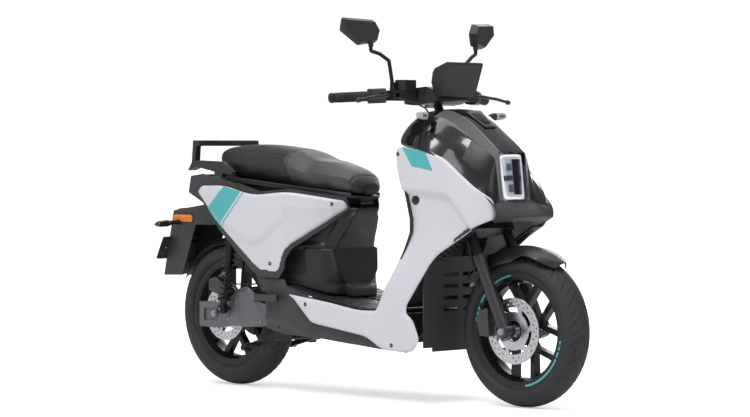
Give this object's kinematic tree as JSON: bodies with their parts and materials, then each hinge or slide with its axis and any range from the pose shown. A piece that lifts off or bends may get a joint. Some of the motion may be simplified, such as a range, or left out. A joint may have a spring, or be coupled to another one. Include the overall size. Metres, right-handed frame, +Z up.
{
  "type": "moped scooter",
  "caption": "Step-through electric scooter with telescopic fork, sprung rear arm, belt drive, stepped seat, folding pegs and stands.",
  "frame": {"origin": "on the ground, on the centre plane, midway between the two axles", "axes": "+X forward in the direction of travel, +Y to the rider's left, +Z up"},
  "size_m": [1.9395, 0.7906, 1.2917],
  "materials": {
    "frame_steel": "semi-gloss black",
    "panel_light": "very pale lavender grey, satin gloss",
    "gloss_black": "gloss black",
    "satin_black": "fine-grained satin black",
    "dark_grey": "fine-grained dark grey",
    "clear_lens": "clear polished",
    "amber_lens": "amber",
    "tyre": "matt black rubber",
    "rim_black": "gloss black",
    "disc_steel": "ground",
    "alloy": "cast, satin",
    "fork_metal": "dark metallic",
    "steel": "machined",
    "spring_black": "black coated",
    "seat_cover": "fine-grained vinyl",
    "grip_rubber": "ribbed rubber",
    "belt_rubber": "reinforced rubber",
    "battery_case": "textured"
  },
  "bodies": {
    "chassis": {"main_frame": "frame_steel", "battery_pack": "battery_case", "motor": "alloy", "steering_bearings": "steel", "inner_apron": "dark_grey", "shield_panels": "panel_light", "nose_cover": "gloss_black", "headlight": "clear_lens", "front_cowl": "dark_grey", "floorboard": "satin_black", "lower_covers": "dark_grey", "seat_base_cover": "satin_black", "storage_tub": "satin_black", "side_panels": "panel_light", "tail_trim": "dark_grey", "grab_rail": "satin_black", "rear_fender": "satin_black", "signal_lamps": "amber_lens"},
    "steering": {"steering_stem": "frame_steel", "handlebar": "frame_steel", "left_grip": "grip_rubber", "bar_cover": "satin_black", "display": "satin_black", "switch_housings": "satin_black", "mirror_stems": "satin_black"},
    "mirror_right_body": {"mirror_head_right": "satin_black"},
    "mirror_left_body": {"mirror_head_left": "satin_black"},
    "front_lever": {"front_brake_lever": "frame_steel"},
    "rear_lever": {"rear_brake_lever": "frame_steel"},
    "throttle": {"throttle_grip": "grip_rubber"},
    "start_button_body": {"start_button": "satin_black"},
    "turn_switch_body": {"turn_switch": "satin_black"},
    "fork_lower": {"fork_lowers": "fork_metal", "front_axle": "steel", "front_fender": "gloss_black", "front_caliper": "alloy"},
    "front_wheel": {"front_rim": "rim_black", "front_tyre": "tyre", "front_disc": "disc_steel", "front_bearings": "steel"},
    "rear_arm": {"swingarm": "alloy", "rear_axle": "steel", "rear_caliper": "alloy", "hugger": "satin_black", "drive_belt": "belt_rubber"},
    "rear_wheel": {"rear_rim": "rim_black", "rear_tyre": "tyre", "rear_disc": "disc_steel", "rear_pulley": "alloy", "rear_bearings": "steel"},
    "rotor": {"motor_pulley": "steel"},
    "shock_upper": {"shock_bodies": "spring_black", "shock_springs": "spring_black"},
    "shock_lower": {"shock_rods": "steel"},
    "seat": {"seat_cushion": "seat_cover", "seat_pan": "satin_black"},
    "peg_right_body": {"peg_right": "alloy"},
    "peg_left_body": {"peg_left": "alloy"},
    "side_stand_body": {"side_stand": "frame_steel"},
    "centre_stand_body": {"centre_stand": "frame_steel"}
  },
  "joints": [
    {"name": "steering_turn", "type": "hinge", "parent": "chassis", "child": "steering", "pos_m": [0.43313, 0, 0.6904], "axis": [-0.4226, 0, 0.9063], "range_deg": [-38, 38]},
    {"name": "fork_travel", "type": "slide", "parent": "steering", "child": "fork_lower", "axis": [-0.4226, 0, 0.9063], "range_m": [-0.02, 0.05]},
    {"name": "front_wheel_spin", "type": "hinge", "parent": "fork_lower", "child": "front_wheel", "pos_m": [0.6825, 0, 0.255], "axis": [0, 1, 0], "continuous": true},
    {"name": "rear_arm_swing", "type": "hinge", "parent": "chassis", "child": "rear_arm", "pos_m": [-0.34, 0, 0.262], "axis": [0, 1, 0], "range_deg": [-3, 7]},
    {"name": "rear_wheel_spin", "type": "hinge", "parent": "rear_arm", "child": "rear_wheel", "pos_m": [-0.6825, 0, 0.262], "axis": [0, 1, 0], "continuous": true},
    {"name": "rotor_spin", "type": "hinge", "parent": "chassis", "child": "rotor", "pos_m": [-0.34, 0, 0.262], "axis": [0, 1, 0], "continuous": true},
    {"name": "shock_tilt", "type": "hinge", "parent": "chassis", "child": "shock_upper", "pos_m": [-0.56, 0, 0.59], "axis": [0, 1, 0], "range_deg": [-0.56, 0.9]},
    {"name": "shock_stroke", "type": "slide", "parent": "shock_upper", "child": "shock_lower", "axis": [0.1696, 0, 0.9855], "range_m": [-0.0163, 0.0353], "deforming": ["shock_springs"]},
    {"name": "front_lever_pull", "type": "hinge", "parent": "steering", "child": "front_lever", "pos_m": [0.272, -0.202, 1.034], "axis": [0, 0, 1], "range_deg": [-14, 0]},
    {"name": "rear_lever_pull", "type": "hinge", "parent": "steering", "child": "rear_lever", "pos_m": [0.272, 0.202, 1.034], "axis": [0, 0, 1], "range_deg": [0, 14]},
    {"name": "throttle_twist", "type": "hinge", "parent": "steering", "child": "throttle", "pos_m": [0.225, -0.255, 1.031], "axis": [-0.4467, -0.8934, -0.0481], "range_deg": [-70, 0]},
    {"name": "start_button_push", "type": "slide", "parent": "steering", "child": "start_button_body", "axis": [1, 0, 0], "range_m": [0, 0.002]},
    {"name": "turn_switch_shift", "type": "slide", "parent": "steering", "child": "turn_switch_body", "axis": [0, 1, 0], "range_m": [-0.003, 0.003]},
    {"name": "mirror_right_swivel", "type": "hinge", "parent": "steering", "child": "mirror_right_body", "pos_m": [0.226, -0.264, 1.196], "axis": [0, 0, 1], "range_deg": [-20, 20]},
    {"name": "mirror_left_swivel", "type": "hinge", "parent": "steering", "child": "mirror_left_body", "pos_m": [0.226, 0.264, 1.196], "axis": [0, 0, 1], "range_deg": [-20, 20]},
    {"name": "seat_open", "type": "hinge", "parent": "chassis", "child": "seat", "pos_m": [-0.05, 0, 0.668], "axis": [0, 1, 0], "range_deg": [0, 60]},
    {"name": "peg_right_fold", "type": "hinge", "parent": "chassis", "child": "peg_right_body", "pos_m": [-0.383, -0.208, 0.334], "axis": [0, 0, 1], "range_deg": [-85, 0]},
    {"name": "peg_left_fold", "type": "hinge", "parent": "chassis", "child": "peg_left_body", "pos_m": [-0.383, 0.208, 0.334], "axis": [0, 0, 1], "range_deg": [0, 85]},
    {"name": "side_stand_swing", "type": "hinge", "parent": "chassis", "child": "side_stand_body", "pos_m": [-0.262, 0.137, 0.206], "axis": [-0.3011, 0.9536, 0], "range_deg": [-88, 0]},
    {"name": "centre_stand_swing", "type": "hinge", "parent": "chassis", "child": "centre_stand_body", "pos_m": [-0.343, 0, 0.202], "axis": [0, 1, 0], "range_deg": [-72, 0]}
  ],
  "couplings": [
    {"joint": "rotor_spin", "follows": "rear_wheel_spin", "ratio": 3},
    {"joint": "shock_tilt", "follows": "rear_arm_swing", "ratio": 0.08507},
    {"joint": "shock_stroke", "follows": "rear_arm_swing", "m_per_rad": 0.27244}
  ]
}
